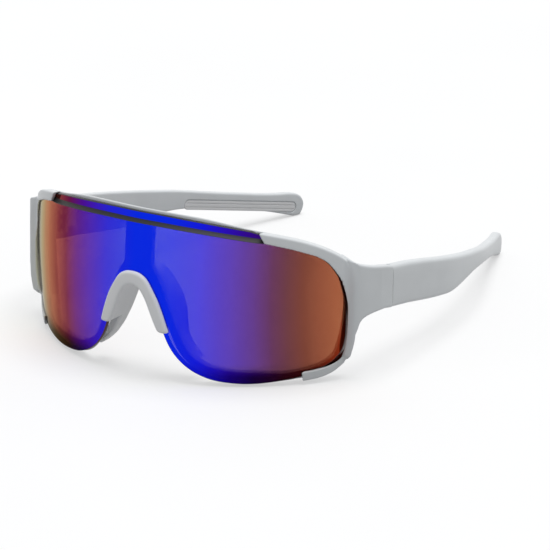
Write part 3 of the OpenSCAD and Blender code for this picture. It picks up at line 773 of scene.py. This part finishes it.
def frame_sd(x, y, z):
    """The front frame: a ring round the lens, cheeks and arms, less the eyes, the window and the pocket."""
    ax = np.abs(x)
    d = depth(x, y, z)
    edge = poly_sd(ax, z, frame_edge)
    turn = side_sd(ax, y, z)
    # the cheek runs out towards the lower corner, where only the lip goes on
    cheek = poly_sd(ax, y, plan) + 3.0 * rise(z, 9.5, -5)
    # the lips are rounder and a little fuller low down, and the rims draw in behind the lens
    fuller = 0.45 * rise(z, 17, -8) * rise(z, 0.5, 3)
    drawn_in = 0.25 * np.maximum(d - LENS_T, 0) * rise(ax, 60, -12)
    line = smax(edge, turn, 0.4 + 1.6 * rise(z, 20, -6)) - fuller + drawn_in
    line = smax(line, d - FRAME_BACK, 2.4)
    ring = smax(smin(-LIP_PROUD - d, cheek, 1.6), line, 0.7)
    # the cheek and the arm share one plan, so only their outlines are blended
    arm = smax(cheek, smin(line, poly_sd(y, z, arm_side), 4.0), 1.0)
    body = smax(np.minimum(ring, arm), y - SEAM_F, 2 * SEAM)
    eyes = np.maximum(smax(poly_sd(ax, z, eye), turn + RIM_W, 0.6), LENS_T - d)
    body = smax(body, -eyes, 1.0)
    body = smax(body, -np.maximum(poly_sd(ax, z, window_poly), d - LENS_T - 2 * PLAY), 0.45)
    pocket = np.maximum(slab(d, POCKET_FRONT, LENS_T + PLAY), poly_sd(ax, z, pocket_line))
    return smax(body, -np.maximum(pocket, turn + LIP_WALL - PLAY), 0.2)


front_frame = sd_piece("frame_shell", frame_sd, (-71.8, -1.8, -0.6), (71.8, 59.6, 62.2),
                       0.42, "front", [M_FRAME])
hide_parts("front_frame")

# Nose bridge
# the hooks' lower end, the step behind it, the pads' back and how far they spread, and the frame's distance
HOOK_END, PAD_STEP, PAD_BACK, PAD_SPREAD, NOSE_WALL = 18.4, 8.0, 15.0, 1.7, 0.9
nose_line = np.array(both([tuple(q) for q in hook] + [tuple(q) for q in arch[::-1]]))
wall = [tuple(q) for q in grow(np.vstack([arch, arch[-1] + (arch[-1] - arch[-2])]), NOSE_WALL)[:-1]]
wall[0] = (0.0, wall[0][1])
slot_line = [(-8, wall[0][1])] + wall + [(38, wall[-1][1]), (38, 64), (-8, 64)]
under = np.array([(-60, -40)] + [tuple(q) for q in flip(arch)] + [tuple(q) for q in arch] + [(60, -40)])


def nose_sd(x, y, z):
    """The nose piece: an arch over the nose, with hooks in front of the lens and pads behind the frame."""
    ax = np.abs(x)
    d = depth(x, y, z)
    spread = PAD_SPREAD * rise(y, 5, 8) * rise(z, 17, 8) * rise(z, 38, -8)
    outer = np.maximum(poly_sd(x, z, nose_line) - spread, -poly_sd(x, z, under))
    body = smax(smax(outer, y - PAD_BACK, 1.6), -HOOK_PROUD - d, 1.2)
    slot = np.maximum(slab(d, -0.12, FRAME_BACK + PLAY), poly_sd(ax, z, slot_line))
    body = smax(body, -slot, 0.3)
    return smax(body, -np.maximum(z - HOOK_END, y - PAD_STEP), 1.2)


nose = sd_piece("nose_piece", nose_sd, (-22, -2.2, 5), (22, 15.8, 41), 0.32, "front", [M_NOSE])
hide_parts("nose_bridge")

# Temples
side = np.array([(HINGE_Y + PLAY - 3, TEMPLE_TOP + 0.7)]
                + [(HINGE_Y + a, b) for a, b in spline(place(TEMPLE_UP_SHARES, TEMPLE_L, TEMPLE_TOP), 6)]
                + [(HINGE_Y + a, b) for a, b in spline(place(TEMPLE_LOW_SHARES, TEMPLE_L, TEMPLE_TOP), 6)]
                + [(HINGE_Y + PLAY - 3, TEMPLE_TOP - 15.0)])
ends = [np.array([HINGE_Y + a * TEMPLE_L, b * TEMPLE_TOP]) for a, b in GRIP_ENDS]
way = (ends[1] - ends[0]) / np.linalg.norm(ends[1] - ends[0])
mid = (ends[0] + ends[1]) / 2
REACH = (GRIP_L - 2 * GRIP_R) / 2
# the outer face's crown, the groove's play and depth, and the grip's two fine grooves
CROWN, GROOVE_PLAY, GROOVE_D, RIB_AT, RIB_W = 0.28, 0.3, 0.6, 0.75, 0.16


def on_plan(s, u):
    """The point at arc length s from y = 0 and u inwards of the temple's outer face."""
    arc = BEND_R * BEND
    a = np.clip((s - BEND_Y) / BEND_R, 0, BEND)
    past_arc = np.maximum(s - BEND_Y - arc, 0)
    before = np.minimum(s, BEND_Y)
    x = (HALF_W - BEND_R) + (BEND_R - u) * np.cos(a) - past_arc * np.sin(a)
    y = before + (BEND_R - u) * np.sin(a) + past_arc * np.cos(a)
    return x, y


def side_y(s):
    """The outer face's y at arc length s."""
    return on_plan(s, 0.0)[1]


def across(y, z):
    """The distance from the grip's middle line, seen from the side."""
    return -(y - mid[0]) * way[1] + (z - mid[1]) * way[0]


def pill(y, z, r):
    """The grip's outline with round ends of radius r."""
    w = (y - mid[0]) * way[0] + (z - mid[1]) * way[1]
    return np.hypot(np.maximum(np.abs(w) - REACH, 0), across(y, z)) - r


def temple_sd(s, u, z):
    """A temple laid out straight, with the groove for its grip."""
    y = side_y(s)
    prof = poly_sd(y, z, side)
    crown = CROWN * np.clip(1 + prof / 5.0, 0, 1) ** 2
    body = smax(u - TEMPLE_T + crown * 0.5, smax(crown - u, prof, 1.6), 0.9)
    body = smax(body, HINGE_Y + SEAM - y, 2 * SEAM)
    return smax(body, -np.maximum(pill(y, z, GRIP_R + GROOVE_PLAY), TEMPLE_T - GROOVE_D - u), 0.15)


def grip_sd(s, u, z):
    """The grip panel with two fine grooves, laid out straight."""
    y = side_y(s)
    body = smax(pill(y, z, GRIP_R), np.maximum(TEMPLE_T - 0.9 - u, u - TEMPLE_T + 0.1), 0.4)
    rib = np.maximum(np.abs(np.abs(across(y, z)) - RIB_AT) - RIB_W, pill(y, z, 1.4))
    return smax(body, -np.maximum(rib, TEMPLE_T - 0.4 - u), 0.1)


def warp_to(sign):
    """Bends a straight temple's points to its plan, on one side."""
    def f(p):
        x, y = on_plan(p[:, 0], p[:, 1])
        return np.stack([sign * x, y, p[:, 2]], 1)
    return f


PITCH = 0.3
# the temple's length along its bend
S_END = BEND_Y + BEND_R * BEND + (HINGE_Y + TEMPLE_L - BEND_Y - BEND_R * math.sin(BEND)) / math.cos(BEND)
for tag, sign in (("left", 1), ("right", -1)):
    t = sd_piece("temple_arm_" + tag, temple_sd, (HINGE_Y - 0.6, -0.6, -0.6), (S_END + 0.9, 4.5, 39.2), PITCH,
                 "temple_%s_arm" % tag, [M_FRAME], warp_to(sign))
    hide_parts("temple_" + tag)
    g = sd_piece("grip_panel_" + tag, grip_sd, (130, 2.4, 1), (S_END + 1, 4.2, 20), 0.15,
                 "temple_%s_arm" % tag, [M_GRIP], warp_to(sign))
    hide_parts("temple_grip_" + tag)

# Hinges keep their CAD shapes
for name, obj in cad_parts.items():
    m = M_LEAF if "leaf" in name else M_SCREW if "screw" in name else None
    if m is None:
        m = M_LENS if "lens" in name else M_NOSE if "nose" in name else M_GRIP if "grip" in name else M_FRAME
    for entry in obj.material_slots:
        entry.material = m
    if not obj.material_slots:
        obj.data.materials.append(m)

# Floor, light and camera
def shown_to(nt):
    """1 for camera, glossy and transmission rays, which see the floor and the world as white."""
    lp = nt.nodes.new("ShaderNodeLightPath")
    seen = math_node(nt, "MAXIMUM", lp.outputs["Is Camera Ray"], lp.outputs["Is Glossy Ray"])
    return math_node(nt, "MAXIMUM", seen, lp.outputs["Is Transmission Ray"])


def floor_mat():
    """White where it is seen and grey where it only throws light back. Part of the white glows."""
    def build(nt):
        co, sep = coords(nt)
        n = nt.nodes.new("ShaderNodeTexNoise")
        n.inputs["Scale"].default_value = 6
        nt.links.new(co, n.inputs["Vector"])
        white = ramp(nt, n.outputs["Fac"], [(0.3, (0.97, 0.97, 0.97)), (0.7, (0.99, 0.99, 0.99))])
        grey = ramp(nt, n.outputs["Fac"], [(0.3, (0.32, 0.32, 0.32)), (0.7, (0.34, 0.34, 0.34))])
        shown = nt.nodes.new("ShaderNodeBsdfDiffuse")
        nt.links.new(white, shown.inputs["Color"])
        glow = nt.nodes.new("ShaderNodeEmission")
        glow.inputs["Strength"].default_value = 1.0
        part = nt.nodes.new("ShaderNodeMixShader")
        part.inputs[0].default_value = 0.5
        nt.links.new(shown.outputs[0], part.inputs[1])
        nt.links.new(glow.outputs[0], part.inputs[2])
        bounce = nt.nodes.new("ShaderNodeBsdfDiffuse")
        nt.links.new(grey, bounce.inputs["Color"])
        mix = nt.nodes.new("ShaderNodeMixShader")
        nt.links.new(shown_to(nt), mix.inputs[0])
        nt.links.new(bounce.outputs[0], mix.inputs[1])
        nt.links.new(part.outputs[0], mix.inputs[2])
        return mix.outputs[0]
    return node_mat("floor_white", build)


# half the floor's width in metres
FLOOR = 6.0
mesh = bpy.data.meshes.new("floor")
corners = [(-FLOOR, -FLOOR, 0), (FLOOR, -FLOOR, 0), (FLOOR, FLOOR, 0), (-FLOOR, FLOOR, 0)]
mesh.from_pydata(corners, [], [(0, 1, 2, 3)])
mesh.materials.append(floor_mat())
floor = bpy.data.objects.new("floor", mesh)
floor.location = (0, 0, -0.0001)
bpy.context.scene.collection.objects.link(floor)

w = bpy.data.worlds.new("studio")
bpy.context.scene.world = w
w.use_nodes = True
nt = w.node_tree
nt.nodes.clear()
out = nt.nodes.new("ShaderNodeOutputWorld")
mix = nt.nodes.new("ShaderNodeMixShader")
soft = nt.nodes.new("ShaderNodeBackground")
soft.inputs[0].default_value = (0.97, 0.985, 1.0, 1)
soft.inputs[1].default_value = 0.52
bright = nt.nodes.new("ShaderNodeBackground")
bright.inputs[0].default_value = (1, 1, 1, 1)
bright.inputs[1].default_value = 1.0
nt.links.new(shown_to(nt), mix.inputs[0])
nt.links.new(soft.outputs[0], mix.inputs[1])
nt.links.new(bright.outputs[0], mix.inputs[2])
nt.links.new(mix.outputs[0], out.inputs[0])


def sun(name, direction, strength, angle):
    """A sun that shines from this direction."""
    light = bpy.data.lights.new(name, "SUN")
    light.energy = strength
    light.angle = math.radians(angle)
    lamp = bpy.data.objects.new(name, light)
    lamp.rotation_mode = "QUATERNION"
    lamp.rotation_quaternion = Vector(direction).to_track_quat("Z", "Y")
    lamp.location = Vector(direction)
    bpy.context.scene.collection.objects.link(lamp)


sun("key", (0.12, 0.05, 1.0), 1.62, 40)

# The camera: its angles, distance in mm and pixels per mm, and the pixel on which the target lies
AZ, EL, ROLL, DIST, PX_PER_MM = math.radians(30), math.radians(19), math.radians(1), 1500.0, 2.8
PICTURE, TARGET_X, TARGET_Y, TARGET = 550, 222.358, 249.824, Vector((0, 60, 30))
back = Vector((math.sin(AZ) * math.cos(EL), -math.cos(AZ) * math.cos(EL), math.sin(EL)))
right = Vector((math.cos(AZ), math.sin(AZ), 0))
up = back.cross(right)
rr = right * math.cos(ROLL) + up * math.sin(ROLL)
uu = up * math.cos(ROLL) - right * math.sin(ROLL)
ox, oy = (TARGET_X - PICTURE / 2) / PX_PER_MM, -(TARGET_Y - PICTURE / 2) / PX_PER_MM
loc = TARGET + back * DIST - rr * ox - uu * oy - Vector((0, Y0, 0))
cam = bpy.data.cameras.new("camera")
cam.sensor_width = 36
cam.lens = PX_PER_MM * DIST / PICTURE * cam.sensor_width
cam.clip_start = 0.05
cam.clip_end = 60
camera = bpy.data.objects.new("camera", cam)
camera.matrix_world = Matrix(((rr.x, uu.x, back.x, loc.x * MM), (rr.y, uu.y, back.y, loc.y * MM),
                              (rr.z, uu.z, back.z, loc.z * MM), (0, 0, 0, 1)))
bpy.context.scene.collection.objects.link(camera)
bpy.context.scene.camera = camera
bpy.context.scene.view_settings.view_transform = "Standard"
